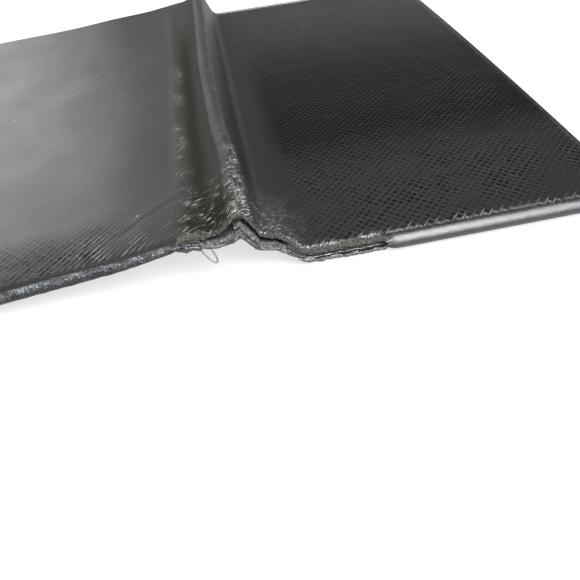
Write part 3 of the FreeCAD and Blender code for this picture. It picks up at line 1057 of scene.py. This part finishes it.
def stitches(side):
    """The pockets' stitching: round three edges, and up the middle between the columns."""
    first = section("card_pocket_back")[0] + 1.0
    free = REACH - SEAM_INSET
    runs = [((s, end * (HALF - SEAM_INSET)), (1, 0)) for end in (-1, 1)
            for s in np.arange(first, free - 1.6, STITCH_PITCH)]
    runs += [((s, 0.0), (1, 0)) for s in np.arange(first, free - 4, STITCH_PITCH)]
    runs += [((free, y), (0, 1)) for y in np.arange(-HALF + 4, HALF - 4, STITCH_PITCH)]
    shares = np.linspace(-0.5, 0.5, len(STITCH_RADII))
    steps, slant = shares * STITCH_LENGTH, shares * STITCH_SLANT
    sink = STITCH_SINK * (2 * np.abs(shares)) ** 4 - STITCH_PROUD
    paths = []
    for (s, y), (ds, dy) in runs:
        level = inner_level(s - 1.4 * ds)
        if ds and inner_level(s + 1.4) != level:
            continue
        depth = level + sink - 0.45 * swelling(at(side, s), y)
        on_s, on_y = s + ds * steps + dy * slant, y + dy * steps + ds * slant
        paths.append(place(at(side, on_s), on_y, depth, UNDER) / MM)
    return tubes("stitches_" + side, paths, [STITCH_RADII] * len(paths), 8, STITCH, uv=True)


def reinforcement():
    """The felted strip under the ridge, thick and ragged at the worn end."""
    ys = spaced([ENDS[0], ENDS[0] + 6, ENDS[0] + 30, ENDS[1]], [0.3, 1.2, 3.0])
    us = spaced([U_LEFT + 3.5, U_RIGHT - 3.5], [0.4])
    u, y = np.meshgrid(us, ys, indexing="ij")
    y = y + torn_layer(u, 1.1 + 2.0 * bump(u, 0.4, 4.4), 53.0) * fading(y - ENDS[0])
    top = place(u, y, reinforcement_top(u, y), UNDER)
    bottom = place(u, y, reinforcement_bottom(u, y), UNDER)
    bottom[:, 0, 1] -= 0.5 * MM

    def frayed(points, level):
        x, y, z = points.T / MM
        return roughened(points, [(1, 0.35 * (up(y) < 6), 60.0 + level)], (x, z), 0.4)

    flat = np.stack([u, y], -1)
    return closed_sheet("spine_felt", top, bottom, [FELT, FELT], flat, rings=3, rough=frayed)


# ---- Loose ends ----
FROM_COVER = 0.55  # the chance that a fibre stands out of the cover's torn edge
LONGER = 0.12  # the chance that one is twice as long
FIBRE_TAPER = np.array([1.0, 0.9, 0.75, 0.5, 0.2])


def fibres(name, side, count, seed):
    """Hairs and tufts that stand out of the torn layers' ends."""
    draw = random.Random(seed)
    t = np.linspace(0, 1, len(FIBRE_TAPER))
    paths, radii = [], []
    for _ in range(count):
        share = draw.random() ** 0.8
        u = TEAR_RIGHT * (1 - share) if side == "right" else TEAR_LEFT * share
        from_cover = draw.random() < FROM_COVER
        if from_cover:
            start = float(torn_line(np.array(u))) - draw.uniform(0, TORN_SLANT)
            out = draw.uniform(-0.45, 0.4)
        else:
            start = draw.uniform(0.4, 1.2)
            out = draw.uniform(-1.3, -0.6)
        length = draw.uniform(0.3, 0.9) * (2.0 if draw.random() < LONGER else 1.0)
        lean, droop = draw.uniform(-0.7, 0.7), draw.uniform(-0.6, 0.5)
        y = -HALF + start + 0.15 - length * t
        window = 0.2 if from_cover else UNDER
        path = place(u + lean * length * t**1.5, y, out + droop * length * t**2, window)
        paths.append(path / MM)
        radii.append(draw.uniform(0.015, 0.045) * FIBRE_TAPER)
    return tubes(name, paths, radii, 3, FRAY)


LOOP = [  # the loose thread's way, from where it leaves the panel's corner
    (-0.24, 0.7, 0.6), (-0.06, 0.1, -0.36), (0.72, -0.3, -1.92), (1.68, -0.6, -3.48),
    (2.52, -0.75, -4.44), (3.12, -0.8, -4.68), (3.42, -0.75, -4.08), (3.24, -0.55, -2.88),
    (2.76, -0.3, -1.44), (2.22, 0.0, -0.12), (2.04, 0.7, 0.72),
]
PLY_TURN = 1.3  # one turn of the two plies
PLY_OFFSET = 0.075
PLY_RADIUS = 0.16


def loose_thread():
    """A loop of two-ply sewing thread that has pulled out beside the left fold."""
    corner = place(at("left", 4.2), -HALF + 0.3, -1.9, UNDER) / MM
    dense = np.linspace(0, len(LOOP) - 1, 90)
    path = np.stack([np.interp(dense, np.arange(len(LOOP)), along) for along in zip(*LOOP)], -1)
    for _ in range(14):
        path[1:-1] = (path[:-2] + 2 * path[1:-1] + path[2:]) / 4
    first, second = spokes(path, (0, 1, 0))
    plies = []
    for phase in (0, math.pi):
        turn = (running(path) * 2 * math.pi / PLY_TURN + phase)[:, None]
        plies.append(corner + path + PLY_OFFSET * (np.cos(turn) * first + np.sin(turn) * second))
    return tubes("thread_loop", plies, [np.full(len(path), PLY_RADIUS)] * 2, 8, LOOSE, uv=True)


# ---- Assembly ----
def fold_points(side):
    """Where a blend over a fold starts and ends, in metres: on the panel, on the ridge."""
    fold, panel, ridge = (RIGHT, heading(0), flank) if side == "right" else (LEFT, LEFTWARD, slope)
    return tuple((p[0] * MM, 0, p[1] * MM) for p in (fold + panel * 3.0, fold + ridge * 3.5))


def bend(piece, side):
    """Bakes a piece's transform into its mesh; where a blend over its side's fold would start and end is
    found, but not used.
    """
    start, end = fold_points(side)
    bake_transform(piece)


STRIPS = {  # remnants on the worn end: name, s (None at the crest), levels, radius, seed, setback
    "right": [
        ("painted_rim", (None, 8.0), None, 0.26, 71.0, 0.15),
        ("painted_scrap", (7.0, 26.0), (-1.75, -2.2), 0.32, 75.0, -0.1),
        ("painted_tail", (19.0, 29.0), (-2.2, -2.3), 0.28, 79.0, 0.0),
        ("frayed_edge", (3.0, 27.5), (-0.75, -0.7), 0.10, 91.0, -0.1),
    ],
    "left": [
        ("painted_rim", (5.0, None), None, 0.26, 83.0, 0.15),
        ("painted_scrap", (9.8, 3.5), (-1.5, -1.9), 0.62, 87.0, -0.05),
        ("frayed_edge", (8.5, -4.0), (-0.75, -0.8), 0.09, 93.0, -0.05),
    ],
}
HAIRS = 260
HAIR_SEED = {"left": 5, "right": 6}


def belongs(piece, body, node):
    """Attaches a piece to what it rides on, and hides the node it stands for."""
    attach(piece, body)
    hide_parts(node)


def build_side(side):
    """Everything on one side of the crest."""
    cover, coat = cover_half(side), edge_coat(side)
    hair = fibres("torn_fibres_" + side, side, HAIRS, HAIR_SEED[side])
    crossing = [(cover, "cover_leather"), (coat, "edge_paint"), (hair, "cover_leather")]
    for name, *shape in STRIPS[side]:
        painted = name.startswith("painted")
        strip = remnant(f"{name}_{side}", side, *shape, COAT if painted else FRAY)
        crossing.append((strip, "edge_paint" if painted else "cover_leather"))
    made = panel_layers(side)
    crossing.append((made["lining"], "lining_cloth"))
    for piece, slot in crossing:
        bend(piece, side)
    right = side == "right"
    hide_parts("cover_" + side, *(["cover_spine"] if right else []))
    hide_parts("edge_paint_" + side)
    for kind, piece in made.items():
        also = ["spine_lining"] if right and kind == "lining" else []
        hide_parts(f"{kind}_{side}", *also)
        if kind != "lining":
            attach(piece, side + "_panel")
    lining_width = REACH + abs(U_RIGHT if right else U_LEFT)
    lining_width * MM
    2 * HALF * MM
    for tier in ("back", "middle"):
        low, high = box(f"pocket_cloth_{tier}_right")
        flat = ((high[0] - low[0] + 1) * MM, (2 * HALF - 3) * MM)
    belongs(stitches(side), side + "_panel", "pocket_seams_" + side)


for side in SIDES:
    build_side(side)
belongs(reinforcement(), "spine", "spine_reinforcement")
belongs(loose_thread(), "left_panel", "loose_thread")


# ---- Stage, light and camera ----
FLOOR_GAP = 0.05  # below the holder's lowest point


def stage():
    """A plain pale floor."""
    bpy.ops.mesh.primitive_plane_add(size=8)
    floor = bpy.context.object
    floor.name = "floor"
    floor.location.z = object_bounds()[0][2] - FLOOR_GAP * MM
    surface = Surface("floor", 0.9, Emission_Strength=0.7, Emission_Color=(1.0, 1.0, 1.0))
    grain = surface.noise(surface.place(), 60)
    surface.give(Base_Color=surface.mix(grain, (0.20, 0.20, 0.20), (0.22, 0.22, 0.22)))
    floor.data.materials.append(surface.material)
    floor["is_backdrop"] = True


def area_light(name, direction, distance, size, power, color=(1, 1, 1)):
    """A soft rectangular light that faces the holder from a direction."""
    data = bpy.data.lights.new(name, "AREA")
    data.shape = "RECTANGLE"
    data.size, data.size_y = size
    data.energy = power
    data.color = color
    lamp = bpy.data.objects.new(name, data)
    lamp.location = Vector(direction).normalized() * distance
    lamp.rotation_euler = lamp.location.to_track_quat("Z", "Y").to_euler()
    bpy.context.scene.collection.objects.link(lamp)


def lights():
    world = bpy.data.worlds.new("world")
    world.use_nodes = True
    background = world.node_tree.nodes["Background"]
    background.inputs["Color"].default_value = (1.0, 0.985, 0.96, 1)
    # The backdrop is pale to the eye, and dim in the leather.
    path = world.node_tree.nodes.new("ShaderNodeLightPath")
    strength = world.node_tree.nodes.new("ShaderNodeMapRange")
    strength.inputs["To Min"].default_value = 0.07
    strength.inputs["To Max"].default_value = 0.85
    world.node_tree.links.new(path.outputs["Is Camera Ray"], strength.inputs["Value"])
    world.node_tree.links.new(strength.outputs[0], background.inputs["Strength"])
    bpy.context.scene.world = world
    # The window behind to the left, which the left panel reflects.
    area_light("window", (-0.62, 0.80, 0.38), 1.3, (0.9, 0.34), 9.5)
    # A dimmer one low behind to the right, which the right panel's far part reflects.
    area_light("far_window", (0.30, 0.94, 0.15), 1.4, (1.0, 0.2), 1.0, (1.0, 0.97, 0.9))
    # Overhead, which shines on the painted edge and the floor.
    area_light("overhead", (0.22, -0.44, 0.86), 1.2, (0.8, 1.2), 55)
    bpy.context.scene.view_settings.view_transform = "Standard"


CAMERA_AT = (0.00136, -0.19499, 0.08999)
CAMERA_ELEVATION = 43.5
CAMERA_AZIMUTH = 4.6
CAMERA_ROLL = -7.5
CAMERA_LENS = 35.15


def camera():
    """The camera stands over the worn end, and leans to the right."""
    data = bpy.data.cameras.new("camera")
    data.lens = CAMERA_LENS
    data.sensor_width = 36
    data.clip_start = 0.005
    obj = bpy.data.objects.new("camera", data)
    turn = Matrix.Rotation(math.radians(-CAMERA_AZIMUTH), 4, "Z")
    lean = Matrix.Rotation(math.radians(90 - CAMERA_ELEVATION), 4, "X")
    roll = Matrix.Rotation(math.radians(CAMERA_ROLL), 4, "Z")
    obj.matrix_world = Matrix.Translation(CAMERA_AT) @ turn @ lean @ roll
    bpy.context.scene.collection.objects.link(obj)
    bpy.context.scene.camera = obj


stage()
lights()
camera()
